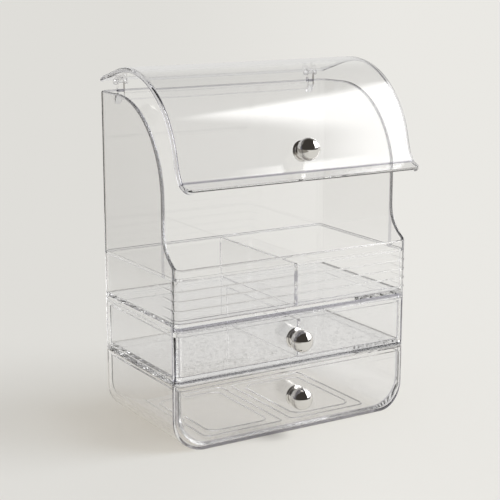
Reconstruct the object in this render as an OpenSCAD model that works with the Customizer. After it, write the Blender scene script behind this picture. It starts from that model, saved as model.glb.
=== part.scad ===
// Clear desktop organizer with a domed flip-up lid over an open tray and two
// drawers below. Five clear mouldings are bonded into one cabinet: a lower
// casing with rounded bottom edges, an upper casing whose floor is the shelf
// between the drawers, a tray with a beaded front, the tray's divider and a
// hood with curved side panels. The lid turns on two small pins behind the
// hood, and each drawer slides out of the front.
// Units are millimetres. The origin is the middle of the footprint on the
// table: +X to the right, +Y to the back and +Z up.

/* [Cabinet] */
// Width across the side walls
body_w = 240; // [214:2:300]
// Depth from the drawer fronts to the back
body_d = 140; // [134:2:180]
// Wall thickness of the casings and the tray
wall = 3; // [2.6:0.2:3.6]
// Radius of the upright corners, seen from above
corner_r = 7; // [6:0.5:9]
// Radius of the long bottom edges, seen from the front
bottom_r = 27; // [20:1:30]
// Height of the lower casing
lower_h = 60.6; // [54:0.2:70]
// Thickness of the shelf between the drawers
shelf_t = 4; // [3.4:0.2:5]
// Height of the upper casing above its shelf
upper_h = 43; // [38:0.5:60]

/* [Tray] */
// Height of the tray's outer wall
tray_h = 44; // [40:0.5:56]
// Height of the tray's floor above its lower edge
tray_floor_rise = 3.4; // [3:0.2:5]
// Number of beads across the tray's front
bead_count = 4; // [2:1:4]
// Spacing of the beads
bead_pitch = 8.3; // [7:0.1:9]
// Thickness of the tray's divider
divider_t = 3.4; // [2.6:0.2:4]
// Left face of the tray's divider
tray_divider_x = 0.1; // [-10:0.5:10]

/* [Hood] */
// Height of the hood above the tray
hood_h = 146.4; // [140:0.2:156]
// Thickness of the hood's panels
hood_t = 3.5; // [3:0.1:4]
// Height of the low band across the hood's front
band_h = 9.6; // [7:0.2:14]
// Set-back of the upright front edge of the side panels
edge_back = 22.5; // [18:0.5:26]
// Radius of the side panels' upper front curve
hood_r = 82; // [70:1:84]
// Height of the sweep from the band up to the upright edge
sweep_h = 30.8; // [26:0.2:36]

/* [Lid] */
// Opening angle of the lid as stored
lid_open = 15.5; // [0:0.5:60]
// Width of the lid
lid_w = 238; // [210:1:238]
// Thickness of the lid's sheet
lid_t = 2.6; // [2.4:0.1:2.8]
// Full depth of the lid's side rims
rim_d = 4.4; // [3.6:0.1:4.6]
// Radius of the lid's main curve
lid_r = 87; // [76:1:90]
// Length of the straight lip along the lid's lower edge
lip_l = 8; // [6:0.5:9]
// Position of each hinge either side of the middle
hinge_x = 101; // [70:1:104]

/* [Drawers] */
// Gap above and below the drawer fronts
front_gap = 0.5; // [0.4:0.1:0.8]
// Wall thickness of the drawer boxes
box_t = 2.5; // [2.2:0.1:3]
// Left face of the upper drawer's divider
drawer_divider_x = 3.6; // [3:0.2:12]

/* [Knobs] */
// Diameter of the ball knobs
ball_d = 20; // [18:0.5:22]
// Distance of the ball's centre from the panel
ball_out = 11.5; // [10.8:0.1:13]
// Sideways position of the drawer knobs
drawer_knob_x = -2; // [-12:0.5:-2]
// Sideways position of the lid knob
lid_knob_x = 2.5; // [-20:0.5:20]

/* [Hidden] */
front_y = -body_d / 2;
back_y = body_d / 2;
// the casings' side walls start behind the corners, where the fronts end
seam_y = front_y + corner_r;
shelf_z = lower_h + shelf_t;
tray_z = shelf_z + upper_h;
tray_floor_z = tray_z + tray_floor_rise + 3;
joint_z = tray_z + tray_h;
hood_top = joint_z + hood_h;
band_z = joint_z + band_h;
edge_y = front_y + edge_back;
// the sweep's arc leaves the upright edge tangent and meets the band's top
sweep_r = (edge_back * edge_back + sweep_h * sweep_h) / (2 * edge_back);
// pivot of the lid, above and just inside the back panel
nose_r = 5.5;
pivot_y = back_y - nose_r;
pivot_z = hood_top + 7.5;
lid_top = pivot_z + nose_r;
lid_front = edge_y - rim_d - 0.3;
lid_cy = lid_front + lid_r;
lid_cz = lid_top - lid_r;
// the lip slopes out four for every three down
flare_r = 6;
flare_a = atan2(4, 3);
flare_z = lid_cz - 23;
lip_corner = 5;
pin_r = 1.2;
lug_w = 6;
ear_w = 3;
// drawer boxes
box_x = body_w / 2 - wall - 0.4;
box_back = back_y - wall - 4.5;
knob_z_low = 34;
knob_z_up = shelf_z + 22.2;
lid_knob_z = lid_cz - 6.5;
base_h = 3.2;
clear_plastic = [0.86, 0.89, 0.91, 0.35];
chrome = [0.78, 0.78, 0.8];

// Rounded rectangle seen from above, inset from the cabinet's outline.
module outline(inset) {
    r = corner_r - inset;
    w = body_w - 2 * inset;
    d = body_d - 2 * inset;
    rr = max(r, 1.2);
    square([w - 2 * rr, d], center = true);
    square([w, d - 2 * rr], center = true);
    for (sx = [-1, 1])
        for (sy = [-1, 1])
            translate([sx * (w / 2 - rr), sy * (d / 2 - rr)])
                circle(r = rr, $fn = 48);
}

module prism(inset, z0, z1) {
    translate([0, 0, z0])
        linear_extrude(height = z1 - z0)
            outline(inset);
}

// Extrudes a side view (Y across, Z up) from x0 to x1.
module along_x(x0, x1) {
    translate([x0, 0, 0])
        rotate([90, 0, 90])
            linear_extrude(height = x1 - x0)
                children();
}

// Extrudes a front view (X across, Z up) from y0 to y1.
module along_y(y0, y1) {
    translate([0, y1, 0])
        rotate([90, 0, 0])
            linear_extrude(height = y1 - y0)
                children();
}

module block(x0, x1, y0, y1, z0, z1) {
    translate([x0, y0, z0])
        cube([x1 - x0, y1 - y0, z1 - z0]);
}

// Front view with square top and rounded bottom corners.
module tub(half, z0, z1, r) {
    translate([-half, z0 + r])
        square([2 * half, z1 - z0 - r]);
    translate([-half + r, z0])
        square([2 * half - 2 * r, r + 0.5]);
    for (s = [-1, 1])
        translate([s * (half - r), z0 + r])
            circle(r = r, $fn = 96);
}

// Ring-shaped locating lip under a moulding, left open across the front.
module lip(z0, z1) {
    difference() {
        prism(wall + 0.2, z0, z1);
        prism(wall + 1.7, z0 - 1, z1 + 1);
        block(-body_w, body_w, -body_d, seam_y + 3, z0 - 1, z1 + 1);
    }
}

// Lower casing: a tub open at the front, with rounded bottom edges.
module lower_casing() {
    color(clear_plastic)
        difference() {
            intersection() {
                along_y(seam_y, back_y)
                    tub(body_w / 2, 0, lower_h, bottom_r);
                prism(0, -1, lower_h + 1);
            }
            intersection() {
                along_y(seam_y - 1, back_y - wall)
                    tub(body_w / 2 - wall, wall, lower_h + 1, bottom_r - wall);
                prism(wall, -1, lower_h + 2);
            }
            // two shallow panels pressed into the underside
            for (s = [-1, 1])
                translate([s * 46, 0, -1])
                    linear_extrude(height = 1.5)
                        panel(64, 96, 10);
        }
}

// Rounded panel outline used for the pressed floor panels.
module panel(w, d, r) {
    square([w - 2 * r, d], center = true);
    square([w, d - 2 * r], center = true);
    for (sx = [-1, 1])
        for (sy = [-1, 1])
            translate([sx * (w / 2 - r), sy * (d / 2 - r)])
                circle(r = r, $fn = 48);
}

// Upper casing: shelf with a bullnosed front edge, side walls and back wall,
// and a lip that locates it in the lower casing.
module upper_casing() {
    nose = shelf_t / 2;
    mid_z = lower_h + nose;
    color(clear_plastic)
        union() {
            // shelf behind the bullnose
            difference() {
                prism(0, lower_h, shelf_z);
                block(-body_w, body_w, -body_d, seam_y, 0, shelf_z + 1);
            }
            block(-body_w / 2 + corner_r, body_w / 2 - corner_r,
                  front_y + nose, seam_y, lower_h, shelf_z);
            along_x(-body_w / 2 + corner_r, body_w / 2 - corner_r)
                translate([front_y + nose, mid_z])
                    circle(r = nose, $fn = 32);
            for (s = [-1, 1])
                translate([s * (body_w / 2 - corner_r), seam_y, mid_z])
                    rotate([0, 0, s > 0 ? -90 : 180])
                        rotate_extrude(angle = 90, $fn = 64)
                            union() {
                                translate([0, -nose])
                                    square([corner_r - nose, shelf_t]);
                                translate([corner_r - nose, 0])
                                    intersection() {
                                        circle(r = nose, $fn = 32);
                                        translate([0, -nose])
                                            square([nose, shelf_t]);
                                    }
                            }
            // side and back walls
            difference() {
                prism(0, shelf_z, tray_z);
                prism(wall, shelf_z - 1, tray_z + 1);
                block(-body_w, body_w, -body_d, seam_y, shelf_z - 1, tray_z + 1);
            }
            lip(lower_h - 2, lower_h);
        }
}

// One half-round bead that runs across the front and round both corners.
module bead(z) {
    r = 0.9;
    at = corner_r - 0.3;
    along_x(-body_w / 2 + corner_r, body_w / 2 - corner_r)
        translate([front_y + 0.3, z])
            circle(r = r, $fn = 24);
    for (s = [-1, 1])
        translate([s * (body_w / 2 - corner_r), seam_y, z])
            rotate([0, 0, s > 0 ? -90 : 180])
                rotate_extrude(angle = 90, $fn = 64)
                    translate([at, 0])
                        circle(r = r, $fn = 24);
}

// Tray: beaded front, floor raised above its lower edge, groove for the
// divider and a lip that locates it in the upper casing.
module tray() {
    color(clear_plastic)
        difference() {
            union() {
                prism(0, tray_z, joint_z);
                for (i = [0 : bead_count - 1])
                    bead(tray_z + 10.2 + i * bead_pitch);
                lip(tray_z - 2, tray_z + 1);
            }
            prism(wall, tray_floor_z, joint_z + 1);
            difference() {
                prism(wall + 1.7, tray_z - 3, tray_floor_z - 3);
                block(-body_w, body_w, -body_d, front_y + wall, 0, joint_z);
            }
            block(tray_divider_x - 0.1, tray_divider_x + divider_t + 0.1,
                  front_y + wall + 2, back_y - wall - 2, tray_floor_z - 1, tray_floor_z + 1);
        }
}

module tray_divider() {
    color(clear_plastic)
        along_x(tray_divider_x, tray_divider_x + divider_t)
            difference() {
                translate([front_y + wall + 2.2, tray_floor_z - 0.9])
                    square([body_d - 2 * wall - 4.4, joint_z - tray_floor_z + 1.9]);
                // front upper corner is eased
                translate([front_y + wall + 2.2, joint_z + 1])
                    difference() {
                        translate([-1, -3])
                            square([4, 4]);
                        translate([3, -3])
                            circle(r = 3, $fn = 32);
                    }
            }
}

// Side view of the hood: upright back, flat top, large front curve, upright
// front edge, and the sweep down to the low front band.
module hood_side() {
    difference() {
        translate([edge_y, joint_z])
            square([back_y - edge_y, hood_top - joint_z]);
        difference() {
            translate([edge_y - 1, hood_top - hood_r])
                square([hood_r + 1, hood_r + 1]);
            translate([edge_y + hood_r, hood_top - hood_r])
                circle(r = hood_r, $fn = 180);
        }
    }
    difference() {
        translate([front_y, joint_z])
            square([edge_back + 0.5, band_h + sweep_h]);
        translate([edge_y - sweep_r, band_z + sweep_h])
            circle(r = sweep_r, $fn = 128);
    }
}

// Hood: one shell bent round the cabinet's outline and cut to the side view,
// with a locating lip, a stiffening rail and two hinge lugs at the back.
module hood() {
    color(clear_plastic)
        difference() {
            union() {
                intersection() {
                    difference() {
                        prism(0, joint_z, hood_top);
                        prism(hood_t, joint_z - 1, hood_top + 1);
                    }
                    along_x(-body_w / 2 - 1, body_w / 2 + 1)
                        hood_side();
                }
                difference() {
                    prism(wall + 0.2, joint_z - 2.5, joint_z + 2);
                    prism(wall + 1.7, joint_z - 3, joint_z + 3);
                }
                block(-hinge_x + 7, hinge_x - 7, back_y - hood_t - 3, back_y - hood_t + 0.5,
                      hood_top - 9.5, hood_top - 3);
                for (s = [-1, 1])
                    along_x(s * hinge_x - lug_w / 2, s * hinge_x + lug_w / 2)
                        lug_side();
            }
            for (s = [-1, 1])
                along_x(s * hinge_x - lug_w, s * hinge_x + lug_w)
                    translate([pivot_y, pivot_z])
                        circle(r = pin_r, $fn = 32);
        }
}

// Side view of a hinge lug: a round head on a post with a gusset below.
module lug_side() {
    h = nose_r - lid_t - 0.3;
    translate([pivot_y, pivot_z])
        circle(r = h, $fn = 48);
    polygon([
        [pivot_y - h, pivot_z],
        [pivot_y + h, pivot_z],
        [pivot_y + h, hood_top - 2],
        [back_y - hood_t + 0.5, hood_top - 2],
        [back_y - hood_t + 0.5, hood_top - 14],
        [pivot_y - h, hood_top - 5]
    ]);
}

module hinge_pin(s) {
    half = lug_w / 2 + 0.4 + ear_w - 0.3;
    translate([s * hinge_x - half, pivot_y, pivot_z])
        rotate([0, 90, 0])
            cylinder(r = pin_r, h = 2 * half, $fn = 32);
}

module left_hinge_pin() {
    color(clear_plastic)
        hinge_pin(-1);
}

module right_hinge_pin() {
    color(clear_plastic)
        hinge_pin(1);
}

// Lid cross-section. X runs across the lid; Y is the depth below its outer
// surface. The sheet's outer corners are rounded and a rim hangs down along
// each side.
module lid_section() {
    r = rim_d / 2 - 0.1;
    half = lid_w / 2;
    translate([-half + r, 0])
        square([2 * (half - r), lid_t]);
    for (s = [-1, 1]) {
        translate([s * (half - r), r])
            circle(r = r, $fn = 40);
        translate([s > 0 ? half - 3 : -half, r])
            square([3, rim_d - r]);
        translate([s > 0 ? half - 3 : -half + r, 0.6])
            square([3 - r, rim_d - 0.6]);
    }
}

// The cross-section revolved about the X axis. The first wraps it round the
// outside of a curve, the second round the inside.
module lid_outer_bend(r, a0, a1) {
    rotate([a0, 0, 0])
        rotate([0, 90, 0])
            rotate([0, 0, 90])
                rotate_extrude(angle = a1 - a0, $fn = 180)
                    translate([r, 0])
                        rotate([0, 0, 90])
                            lid_section();
}

module lid_inner_bend(r, a0, a1) {
    rotate([a0, 0, 0])
        rotate([0, 90, 0])
            rotate([0, 0, 90])
                rotate_extrude(angle = a1 - a0, $fn = 96)
                    translate([r, 0])
                        rotate([0, 0, -90])
                            lid_section();
}

// A straight run of the lid, from the frame's origin along its travel.
module lid_run(length) {
    linear_extrude(height = length)
        lid_section();
}

// Lid as it lies when closed: a nose round the pivot, the flat top, the main
// curve, the upright front, a flare and the lip.
module lid_closed() {
    lip_y = lid_front - flare_r * (1 - cos(flare_a));
    lip_z = flare_z - flare_r * sin(flare_a);
    difference() {
        union() {
            translate([0, pivot_y, pivot_z])
                mirror([0, 1, 0])
                    lid_outer_bend(nose_r, 90, 150);
            translate([0, lid_cy, lid_top])
                rotate([-90, 0, 0])
                    lid_run(pivot_y - lid_cy);
            translate([0, lid_cy, lid_cz])
                lid_outer_bend(lid_r, 90, 180);
            translate([0, lid_front, flare_z])
                lid_run(lid_cz - flare_z);
            translate([0, lid_front - flare_r, flare_z])
                lid_inner_bend(flare_r, -flare_a, 0);
            translate([0, lip_y, lip_z])
                rotate([-flare_a, 0, 0])
                    translate([0, 0, -lip_l])
                        lid_run(lip_l);
            // hinge ears either side of each lug
            for (s = [-1, 1])
                for (t = [-1, 1])
                    translate([s * hinge_x + t * (lug_w / 2 + 0.4 + ear_w / 2) - ear_w / 2,
                               pivot_y, pivot_z])
                        rotate([0, 90, 0])
                            cylinder(r = nose_r - 0.4, h = ear_w, $fn = 48);
        }
        // slots that let the lugs through the nose
        for (s = [-1, 1])
            block(s * hinge_x - lug_w / 2 - 0.4, s * hinge_x + lug_w / 2 + 0.4,
                  pivot_y - 0.5, back_y + 1, pivot_z - 6, pivot_z + 7);
        // holes for the hinge pins
        for (s = [-1, 1])
            translate([s * hinge_x - 12, pivot_y, pivot_z])
                rotate([0, 90, 0])
                    cylinder(r = pin_r + 0.06, h = 24, $fn = 32);
        // hole for the knob's screw
        translate([lid_knob_x, lid_front - 5, lid_knob_z])
            rotate([-90, 0, 0])
                cylinder(r = 2.3, h = 12, $fn = 32);
        // rounded lower corners of the lip
        for (s = [-1, 1])
            translate([s * (lid_w / 2 - lip_corner), lip_y, lip_z])
                rotate([-flare_a, 0, 0])
                    translate([0, 0, -lip_l + lip_corner])
                        rotate([-90, 0, 0])
                            translate([0, 0, -6])
                                difference() {
                                    translate([s > 0 ? 0 : -lip_corner - 1, 0, 0])
                                        cube([lip_corner + 1, lip_corner + 1, 14]);
                                    translate([0, 0, -1])
                                        cylinder(r = lip_corner, h = 16, $fn = 64);
                                }
    }
}

// Turns the closed lid and everything on it to the stored opening.
module opened() {
    translate([0, pivot_y, pivot_z])
        rotate([-lid_open, 0, 0])
            translate([0, -pivot_y, -pivot_z])
                children();
}

module lid_shell() {
    color(clear_plastic)
        opened()
            lid_closed();
}

// Knob parts, revolved about the axis that points out of the panel.
module knob_ball() {
    r = ball_d / 2;
    rotate_extrude($fn = 96)
        difference() {
            intersection() {
                translate([0, ball_out])
                    circle(r = r, $fn = 96);
                translate([0, base_h])
                    square([r + 1, 2 * r]);
            }
            translate([-1, 0])
                square([3.05, ball_out]);
        }
}

module knob_flange() {
    rotate_extrude($fn = 96)
        difference() {
            union() {
                translate([2.2, 0])
                    square([6.4, 2.2]);
                translate([8.6, 0])
                    square([0.7, 1.5]);
                translate([8.6, 1.5])
                    circle(r = 0.7, $fn = 32);
                translate([2.2, 0])
                    square([3.8, base_h]);
            }
            // cove between the flange and the ball's seat
            translate([7.1, 2.9])
                circle(r = 1.15, $fn = 40);
        }
}

module knob_screw(panel_t) {
    rotate_extrude($fn = 48)
        union() {
            translate([0, -panel_t - 1])
                square([2, panel_t + 8.8]);
            translate([0, -panel_t - 1.4])
                square([3.8, 1.4]);
            intersection() {
                translate([0, -panel_t + 2.1])
                    circle(r = 4.6, $fn = 64);
                translate([0, -panel_t - 3])
                    square([3.8, 1.7]);
            }
        }
}

// Points a knob part out of the cabinet's front.
module facing_front(x, y, z) {
    translate([x, y, z])
        rotate([90, 0, 0])
            children();
}

module lid_knob() {
    color(chrome)
        opened()
            facing_front(lid_knob_x, lid_front, lid_knob_z)
                knob_ball();
}

module lid_knob_base() {
    color(chrome)
        opened()
            facing_front(lid_knob_x, lid_front, lid_knob_z)
                knob_flange();
}

module lid_knob_screw() {
    color(chrome)
        opened()
            facing_front(lid_knob_x, lid_front, lid_knob_z)
                knob_screw(lid_t);
}

// Drawer front that wraps round both upright corners of the cabinet.
module upper_drawer() {
    z0 = shelf_z + front_gap;
    z1 = tray_z - front_gap;
    color(clear_plastic)
        difference() {
            union() {
                difference() {
                    prism(0, z0, z1);
                    intersection() {
                        prism(wall, z0 - 1, z1 + 1);
                        block(-box_x + 0.1, box_x - 0.1, -body_d, body_d, 0, z1 + 1);
                    }
                    block(-body_w, body_w, seam_y - 0.3, body_d, z0 - 1, z1 + 1);
                }
                upper_box(shelf_z + 0.4, tray_z - 4.6);
            }
            facing_front(drawer_knob_x, front_y + 10, knob_z_up)
                cylinder(r = 2.3, h = 20, $fn = 32);
        }
}

module upper_box(z0, z1) {
    difference() {
        block(-box_x, box_x, front_y + wall - 0.5, box_back, z0, z1);
        translate([0, (front_y + wall + box_back - box_t) / 2, z0 + box_t])
            linear_extrude(height = z1)
                panel(2 * box_x - 2 * box_t, box_back - box_t - front_y - wall, 4);
        // groove for the divider
        block(drawer_divider_x - 0.1, drawer_divider_x + 3.1, front_y + wall + 0.5,
              box_back - box_t - 0.5, z0 + box_t - 0.8, z0 + box_t + 1);
    }
}

module upper_drawer_divider() {
    color(clear_plastic)
        along_x(drawer_divider_x, drawer_divider_x + 3)
            translate([front_y + wall + 0.6, shelf_z + 0.4 + box_t - 0.7])
                square([box_back - box_t - front_y - wall - 1.2, tray_z - 6 - shelf_z - box_t]);
}

module upper_drawer_knob() {
    color(chrome)
        facing_front(drawer_knob_x, front_y, knob_z_up)
            knob_ball();
}

module upper_drawer_knob_base() {
    color(chrome)
        facing_front(drawer_knob_x, front_y, knob_z_up)
            knob_flange();
}

module upper_drawer_knob_screw() {
    color(chrome)
        facing_front(drawer_knob_x, front_y, knob_z_up)
            knob_screw(wall);
}

// Lower drawer: its front follows the casing's rounded bottom edges, and so
// does its box, whose floor has two pressed panels.
module lower_drawer() {
    z0 = front_gap + 0.1;
    z1 = lower_h - front_gap;
    r = bottom_r - z0;
    box_r = bottom_r + 1.6;
    color(clear_plastic)
        difference() {
            union() {
                difference() {
                    intersection() {
                        prism(0, z0, z1);
                        along_y(front_y - 1, seam_y - 0.3)
                            tub(body_w / 2, z0, z1 + 1, r);
                    }
                    intersection() {
                        prism(wall, z0 + wall, z1 + 1);
                        along_y(front_y - 1, seam_y)
                            tub(body_w / 2 - wall, z0 + wall, z1 + 2, r - wall);
                        block(-box_x + 0.1, box_x - 0.1, -body_d, body_d, 0, z1 + 1);
                    }
                }
                difference() {
                    along_y(front_y + wall - 0.5, box_back)
                        tub(box_x, wall + 0.4, lower_h - 4.6, box_r);
                    along_y(front_y + wall, box_back - box_t)
                        tub(box_x - box_t, wall + 0.4 + box_t, lower_h, box_r - box_t);
                    for (s = [-1, 1])
                        translate([s * 44.5, 1.5, wall + 0.4 + box_t - 0.8])
                            linear_extrude(height = 2)
                                panel(61, 93, 10);
                }
            }
            facing_front(drawer_knob_x, front_y + 10, knob_z_low)
                cylinder(r = 2.3, h = 20, $fn = 32);
        }
}

module lower_drawer_knob() {
    color(chrome)
        facing_front(drawer_knob_x, front_y, knob_z_low)
            knob_ball();
}

module lower_drawer_knob_base() {
    color(chrome)
        facing_front(drawer_knob_x, front_y, knob_z_low)
            knob_flange();
}

module lower_drawer_knob_screw() {
    color(chrome)
        facing_front(drawer_knob_x, front_y, knob_z_low)
            knob_screw(wall);
}

lower_casing();
upper_casing();
tray();
tray_divider();
hood();
left_hinge_pin();
right_hinge_pin();
lid_shell();
lid_knob();
lid_knob_base();
lid_knob_screw();
upper_drawer();
upper_drawer_divider();
upper_drawer_knob();
upper_drawer_knob_base();
upper_drawer_knob_screw();
lower_drawer();
lower_drawer_knob();
lower_drawer_knob_base();
lower_drawer_knob_screw();
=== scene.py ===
"""Clear desktop organizer with a flip-up domed lid, an open tray and two drawers.

The cabinet is built from the table up: lower casing, upper casing, tray, hood,
then the lid on its hinge, the chrome knobs and the two drawers. Sizes are in
millimetres until a mesh is made, and the origin is the middle of the footprint.
"""
import math
import bmesh
import bpy
import numpy as np
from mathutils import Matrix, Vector


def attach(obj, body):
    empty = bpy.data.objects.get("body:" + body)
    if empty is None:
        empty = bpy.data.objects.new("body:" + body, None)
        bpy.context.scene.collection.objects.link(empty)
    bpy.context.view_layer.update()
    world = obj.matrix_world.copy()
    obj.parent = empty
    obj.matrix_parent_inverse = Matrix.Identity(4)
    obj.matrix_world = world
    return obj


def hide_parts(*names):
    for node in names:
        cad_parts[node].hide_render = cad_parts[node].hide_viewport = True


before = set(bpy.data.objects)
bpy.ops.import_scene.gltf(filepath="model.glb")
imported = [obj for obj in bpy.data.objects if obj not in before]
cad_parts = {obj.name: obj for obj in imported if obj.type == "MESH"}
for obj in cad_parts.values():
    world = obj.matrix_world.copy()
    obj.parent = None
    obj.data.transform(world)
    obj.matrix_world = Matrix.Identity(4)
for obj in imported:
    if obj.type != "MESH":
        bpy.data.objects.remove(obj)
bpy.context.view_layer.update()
scene = bpy.context.scene

# Lower casing
# A clear moulded trough with large rounded edges along its bottom, open at the
# front and on top. Its upright back corners are rounded. The other mouldings
# are bonded on top of it.
HALF_WIDTH, HALF_DEPTH, WALL = 120.0, 70.0, 3.0
CORNER, BOTTOM_ROUND, FLOOR_CORNER, SHARP = 7.0, 27.0, 2.0, 0.2
SEAM = -63.0
LOWER_TOP, UPPER_TOP = 60.6, 107.6
BOND = 0.05


def closed_line(corners, radii, steps=24):
    """A closed line run anticlockwise: straight runs joined by corner arcs.

    Place q counts half a run, then one unit per arc and one per run, so that
    q = 0 is the middle of the run before the first corner. The returned
    function gives the points at places q, moved inwards by a depth along the
    line's own normal.
    """
    at = np.asarray(corners, float)
    radii = np.asarray(radii, float)
    ahead = np.roll(at, -1, axis=0) - at
    ahead /= np.linalg.norm(ahead, axis=1)[:, None]
    behind = np.roll(ahead, 1, axis=0)
    turn = np.arctan2(behind[:, 0] * ahead[:, 1] - behind[:, 1] * ahead[:, 0],
                      (behind * ahead).sum(axis=1))
    start = at - behind * (radii * np.tan(np.abs(turn) / 2))[:, None]
    side = np.sign(turn)[:, None]
    first = np.stack([behind[:, 1], -behind[:, 0]], axis=1)
    centre = start - side * first * radii[:, None]
    share = np.linspace(0, 1, steps + 1)
    angle = np.arctan2(first[:, 1], first[:, 0])[:, None] + turn[:, None] * share
    normal = np.stack([np.cos(angle), np.sin(angle)], axis=2)
    points = centre[:, None] + side[:, None] * radii[:, None, None] * normal
    place = 2 * np.arange(len(at))[:, None] + 0.5 + share
    period = 2.0 * len(at)

    def along(q, depth=0.0):
        q, depth = np.broadcast_arrays(np.asarray(q, float), depth)
        read = [np.interp(q, place.ravel(), values.ravel(), period=period)
                for values in (points[..., 0], points[..., 1],
                               normal[..., 0], normal[..., 1])]
        return read[0] - depth * read[2], read[1] - depth * read[3]
    return along


def places(first, last, straight=3, curved=14):
    """Places from first to last, close together on arcs and far apart on runs."""
    marks = np.arange(math.floor(first) - 1, math.ceil(last) + 2) + 0.5
    q = [np.array([first, last])]
    for a, b in zip(marks[:-1], marks[1:]):
        arc = round(a - 0.5) % 2 == 0
        q.append(np.linspace(a, b, (curved if arc else straight) + 1))
    q = np.unique(np.round(np.concatenate(q), 6))
    return q[(q >= first) & (q <= last)]


def seen_from_above(along, q, depth, z):
    """Points of an upright wall whose line lies flat: (x, y) from the line."""
    x, y = along(q, depth)
    return np.stack(np.broadcast_arrays(x, y, z), axis=-1)


def seen_from_front(along, q, depth, y):
    """Points of a trough whose line stands up: (x, z) from the line."""
    x, z = along(q, depth)
    return np.stack(np.broadcast_arrays(x, y, z), axis=-1)


def smooth_step(low, high, value):
    """0 below low, 1 above high, and a smooth rise between them."""
    t = np.clip((value - low) / (high - low), 0, 1)
    return t * t * (3 - 2 * t)


def make(name, body, patches, material, replaced, edge=0.0, segments=3):
    """Joins patches into closed skins and makes one object of them.

    A patch with three axes is a grid: each point is joined to its neighbours
    by four-sided faces. A patch with two axes is the outline of one flat face.
    Equal points are merged, faces are turned outwards, and sharp edges get a
    small round of the given size.
    """
    points, faces, smooth, count = [], [], [], 0
    for patch in patches:
        flat = patch.reshape(-1, 3)
        index = np.arange(count, count + len(flat)).reshape(patch.shape[:-1])
        if patch.ndim == 3:
            quads = np.stack([index[:-1, :-1], index[:-1, 1:],
                              index[1:, 1:], index[1:, :-1]], axis=-1)
            faces.extend(quads.reshape(-1, 4).tolist())
            smooth.extend([True] * (quads.size // 4))
        else:
            faces.append(index.tolist())
            smooth.append(False)
        points.append(flat)
        count += len(flat)
    mesh = bpy.data.meshes.new(name)
    mesh.from_pydata((np.concatenate(points) * 0.001).tolist(), [], faces)
    mesh.polygons.foreach_set("use_smooth", smooth)
    shape = bmesh.new()
    shape.from_mesh(mesh)
    bmesh.ops.remove_doubles(shape, verts=shape.verts, dist=4e-6)
    bmesh.ops.recalc_face_normals(shape, faces=shape.faces)
    shape.to_mesh(mesh)
    shape.free()
    mesh.materials.append(material)
    piece = bpy.data.objects.new(name, mesh)
    scene.collection.objects.link(piece)
    if edge:
        rounding = piece.modifiers.new("edge rounding", "BEVEL")
        rounding.width = edge * 0.001
        rounding.segments = segments
        rounding.limit_method = "ANGLE"
        rounding.angle_limit = math.radians(32)
        rounding.harden_normals = True
    weights = piece.modifiers.new("large faces stay flat", "WEIGHTED_NORMAL")
    weights.weight = 90
    weights.keep_sharp = True
    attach(piece, body)
    if replaced:
        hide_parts(*replaced)
    return piece


class Socket:
    """A shader value: Python operators on it add Math nodes."""

    def __init__(self, tree, link):
        self.tree, self.link = tree, link

    def __add__(self, other):
        return self.tree.math("ADD", self, other)

    def __sub__(self, other):
        return self.tree.math("SUBTRACT", self, other)

    def __rsub__(self, other):
        return self.tree.math("SUBTRACT", other, self)

    def __mul__(self, other):
        return self.tree.math("MULTIPLY", self, other)

    def __truediv__(self, other):
        return self.tree.math("DIVIDE", self, other)

    __radd__, __rmul__ = __add__, __mul__


class Shader:
    """A node tree that is emptied first and then filled by calls."""

    def __init__(self, owner):
        owner.use_nodes = True
        self.nodes, self.links = owner.node_tree.nodes, owner.node_tree.links
        self.nodes.clear()

    def add(self, kind, settings=None, *values, output=0, **named):
        """Adds a node: its settings first, then its inputs by order or name."""
        node = self.nodes.new(kind)
        for key, value in (settings or {}).items():
            setattr(node, key, value)
        pairs = list(enumerate(values))
        pairs += [(key.replace("_", " "), value) for key, value in named.items()]
        for key, value in pairs:
            if isinstance(value, Socket):
                self.links.new(value.link, node.inputs[key])
            elif value is not None:
                node.inputs[key].default_value = value
        return Socket(self, node.outputs[output]) if len(node.outputs) else None

    def math(self, operation, *values):
        """One Math node."""
        return self.add("ShaderNodeMath", {"operation": operation}, *values)

    def rise(self, value, low, high, start=0.0, end=1.0):
        """A smooth change from start to end while a value goes from low to high."""
        return self.add("ShaderNodeMapRange", {"interpolation_type": "SMOOTHSTEP"},
                        value, low, high, start, end)

    def part(self, place, axis):
        """One of a place's three coordinates: 0, 1 or 2 for x, y or z."""
        return self.add("ShaderNodeSeparateXYZ", None, place, output=axis)

    def blend(self, factor, low, high):
        """Mixes two colours, each a fixed triple or a socket."""
        low, high = ((*c, 1) if isinstance(c, tuple) else c for c in (low, high))
        node = self.nodes.new("ShaderNodeMix")
        node.data_type = "RGBA"
        for key, value in ((0, factor), (6, low), (7, high)):
            if isinstance(value, Socket):
                self.links.new(value.link, node.inputs[key])
            else:
                node.inputs[key].default_value = value
        return Socket(self, node.outputs[2])


IN_MM = 1000
# Painted shade: the lavender grey of the dark lines that thick clear edges and bends show, put into the
# base colour.
PAINTED_EDGE_SHADE = (0.30, 0.295, 0.37)


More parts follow.
